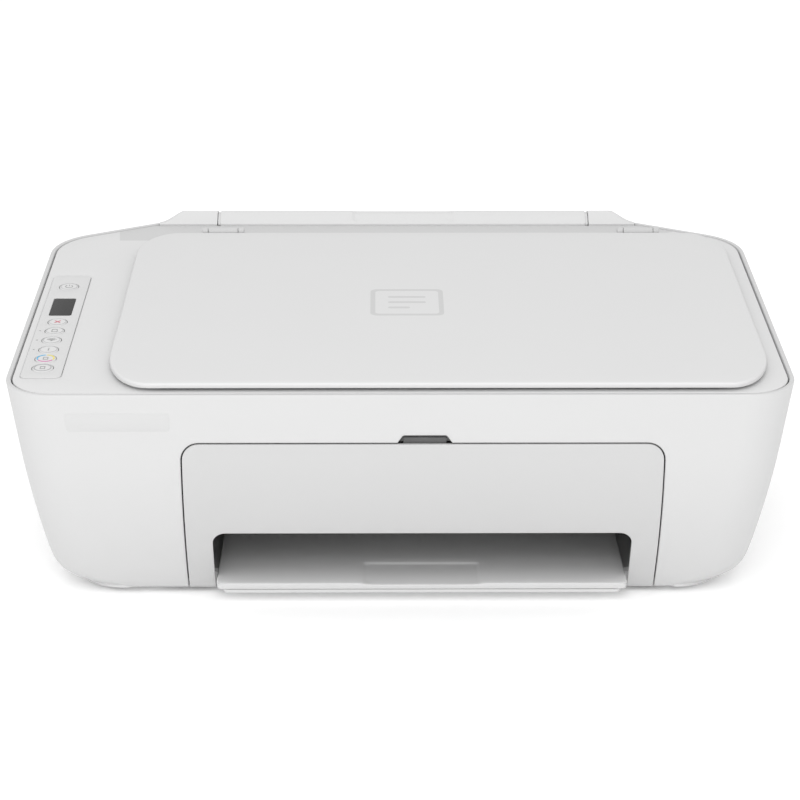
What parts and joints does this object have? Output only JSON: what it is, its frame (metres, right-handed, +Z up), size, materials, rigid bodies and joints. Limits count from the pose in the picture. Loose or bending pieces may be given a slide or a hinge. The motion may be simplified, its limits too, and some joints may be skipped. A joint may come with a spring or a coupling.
{
  "type": "inkjet printer",
  "caption": "White all-in-one inkjet printer: flatbed scanner with hinged lid, front access door round a pull-out output tray, slide-up rear input tray and key strip.",
  "frame": {"origin": "on the table, under the middle of the body's box", "axes": "+X to the right seen from the front, -Y is the front, +Z up"},
  "size_m": [0.425, 0.304, 0.154],
  "materials": {
    "shell_white": "fine matt moulded ABS, white",
    "lid_white": "finely grained light grey-white ABS",
    "tray_white": "light grey-white moulded plastic",
    "panel_film": "satin overlay",
    "key_plastic": null,
    "display": "smoked gloss window",
    "platen_glass": "clear float glass",
    "foam": "white film-faced foam",
    "grey_plastic": "grey moulded plastic",
    "black_plastic": "black moulded plastic",
    "gear_plastic": "natural acetal",
    "steel": "drawn and plated steel",
    "rubber": "black rubber",
    "circuit_board": "green solder resist",
    "film": "clear film with fine dark lines"
  },
  "bodies": {
    "body": {"base_tub": "shell_white", "scanner_bezel": "shell_white", "platen_glass": "platen_glass", "scanner_housing": "grey_plastic", "scan_rod": "steel", "scan_motor": "steel", "rear_cover": "shell_white", "control_panel": "panel_film", "display_window": "display", "control_board": "circuit_board", "chassis": "black_plastic", "feed_motor": "steel", "print_platen": "black_plastic", "star_wheel_bar": "black_plastic", "carriage_rail": "steel", "carriage_rod": "steel", "drive_belt": "rubber", "carriage_motor": "steel", "encoder_strip": "film", "service_station": "grey_plastic", "main_board": "circuit_board", "power_supply": "black_plastic", "mains_inlet": "black_plastic", "usb_port": "steel", "foot_front_left": "rubber", "foot_front_right": "rubber", "foot_rear_left": "rubber", "foot_rear_right": "rubber"},
    "lid": {"scanner_lid": "lid_white", "lid_pad": "foam", "lid_hinge_left": "shell_white", "lid_hinge_right": "shell_white"},
    "door": {"front_door": "shell_white"},
    "tray": {"output_tray": "tray_white"},
    "extender": {"tray_extender": "tray_white"},
    "feeder": {"input_tray": "shell_white"},
    "left_guide": {"paper_guide_left": "tray_white"},
    "right_guide": {"paper_guide_right": "tray_white"},
    "scan_head": {"scan_bar": "black_plastic"},
    "carriage": {"print_carriage": "black_plastic", "black_cartridge": "black_plastic", "color_cartridge": "black_plastic"},
    "feed_shaft": {"feed_roller": "rubber", "feed_gear": "gear_plastic"},
    "discharge_shaft": {"discharge_roller": "rubber", "discharge_gear": "gear_plastic"},
    "pick_shaft": {"pick_roller": "rubber", "pick_gear": "gear_plastic"},
    "motor_pinion": {"motor_gear": "gear_plastic"},
    "idler": {"idler_gear": "gear_plastic"},
    "pulley_left": {"idler_pulley": "gear_plastic"},
    "pulley_right": {"motor_pulley": "gear_plastic"},
    "power_key": {"power_key": "key_plastic"},
    "cancel_key": {"cancel_key": "key_plastic"},
    "resume_key": {"resume_key": "key_plastic"},
    "wireless_key": {"wireless_key": "key_plastic"},
    "info_key": {"info_key": "key_plastic"},
    "color_copy_key": {"color_copy_key": "key_plastic"},
    "black_copy_key": {"black_copy_key": "key_plastic"}
  },
  "joints": [
    {"name": "lid_hinge", "type": "hinge", "parent": "body", "child": "lid", "pos_m": [0, 0.09952, 0.1483], "axis": [-1, 0, 0], "range_deg": [0, 75]},
    {"name": "door_hinge", "type": "hinge", "parent": "body", "child": "door", "pos_m": [0, -0.111, 0.0095], "axis": [-1, 0, 0], "range_deg": [-58, 0]},
    {"name": "tray_slide", "type": "slide", "parent": "body", "child": "tray", "axis": [0, -1, 0], "range_m": [0, 0.1]},
    {"name": "extender_slide", "type": "slide", "parent": "tray", "child": "extender", "axis": [0, -1, 0], "range_m": [0, 0.094]},
    {"name": "feeder_slide", "type": "slide", "parent": "body", "child": "feeder", "axis": [0, 0.454, 0.891], "range_m": [0, 0.107]},
    {"name": "guide_slide", "type": "slide", "parent": "body", "child": "left_guide", "axis": [1, 0, 0], "range_m": [0, 0.055]},
    {"name": "right_guide_slide", "type": "slide", "parent": "body", "child": "right_guide", "axis": [1, 0, 0], "range_m": [-0.055, 0]},
    {"name": "scan_slide", "type": "slide", "parent": "body", "child": "scan_head", "axis": [1, 0, 0], "range_m": [0, 0.268]},
    {"name": "carriage_slide", "type": "slide", "parent": "body", "child": "carriage", "axis": [1, 0, 0], "range_m": [-0.246, 0]},
    {"name": "motor_pulley_spin", "type": "hinge", "parent": "body", "child": "pulley_right", "pos_m": [0.176, 0.044, 0.0795], "axis": [0, 1, 0], "continuous": true},
    {"name": "idler_pulley_spin", "type": "hinge", "parent": "body", "child": "pulley_left", "pos_m": [-0.176, 0.044, 0.0795], "axis": [0, 1, 0], "continuous": true},
    {"name": "feed_spin", "type": "hinge", "parent": "body", "child": "feed_shaft", "pos_m": [-0.162, 0.008, 0.029], "axis": [1, 0, 0], "continuous": true},
    {"name": "motor_gear_spin", "type": "hinge", "parent": "body", "child": "motor_pinion", "pos_m": [-0.162, 0.032, 0.029], "axis": [1, 0, 0], "continuous": true},
    {"name": "idler_spin", "type": "hinge", "parent": "body", "child": "idler", "pos_m": [-0.162, -0.022, 0.029], "axis": [1, 0, 0], "continuous": true},
    {"name": "discharge_spin", "type": "hinge", "parent": "body", "child": "discharge_shaft", "pos_m": [-0.162, -0.0429, 0.031], "axis": [1, 0, 0], "continuous": true},
    {"name": "pick_spin", "type": "hinge", "parent": "body", "child": "pick_shaft", "pos_m": [-0.162, 0.056, 0.039], "axis": [1, 0, 0], "continuous": true},
    {"name": "power_press", "type": "slide", "parent": "body", "child": "power_key", "axis": [0, 0.0785, -0.9969], "range_m": [0, 0.0008], "stiffness_N_per_m": 500, "springref_m": -0.0004},
    {"name": "cancel_press", "type": "slide", "parent": "body", "child": "cancel_key", "axis": [0, 0.0785, -0.9969], "range_m": [0, 0.0008], "stiffness_N_per_m": 500, "springref_m": -0.0004},
    {"name": "resume_press", "type": "slide", "parent": "body", "child": "resume_key", "axis": [0, 0.0785, -0.9969], "range_m": [0, 0.0008], "stiffness_N_per_m": 500, "springref_m": -0.0004},
    {"name": "wireless_press", "type": "slide", "parent": "body", "child": "wireless_key", "axis": [0, 0.0785, -0.9969], "range_m": [0, 0.0008], "stiffness_N_per_m": 500, "springref_m": -0.0004},
    {"name": "info_press", "type": "slide", "parent": "body", "child": "info_key", "axis": [0, 0.0785, -0.9969], "range_m": [0, 0.0008], "stiffness_N_per_m": 500, "springref_m": -0.0004},
    {"name": "color_copy_press", "type": "slide", "parent": "body", "child": "color_copy_key", "axis": [0, 0.0785, -0.9969], "range_m": [0, 0.0008], "stiffness_N_per_m": 500, "springref_m": -0.0004},
    {"name": "black_copy_press", "type": "slide", "parent": "body", "child": "black_copy_key", "axis": [0, 0.0785, -0.9969], "range_m": [0, 0.0008], "stiffness_N_per_m": 500, "springref_m": -0.0004}
  ],
  "couplings": [
    {"joint": "right_guide_slide", "follows": "guide_slide", "ratio": -1},
    {"joint": "motor_pulley_spin", "follows": "carriage_slide", "rad_per_m": -181.82},
    {"joint": "idler_pulley_spin", "follows": "carriage_slide", "rad_per_m": -181.82},
    {"joint": "motor_gear_spin", "follows": "feed_spin", "ratio": -3},
    {"joint": "idler_spin", "follows": "feed_spin", "ratio": -1.5},
    {"joint": "discharge_spin", "follows": "feed_spin", "ratio": 2},
    {"joint": "pick_spin", "follows": "feed_spin", "ratio": 0.9}
  ]
}
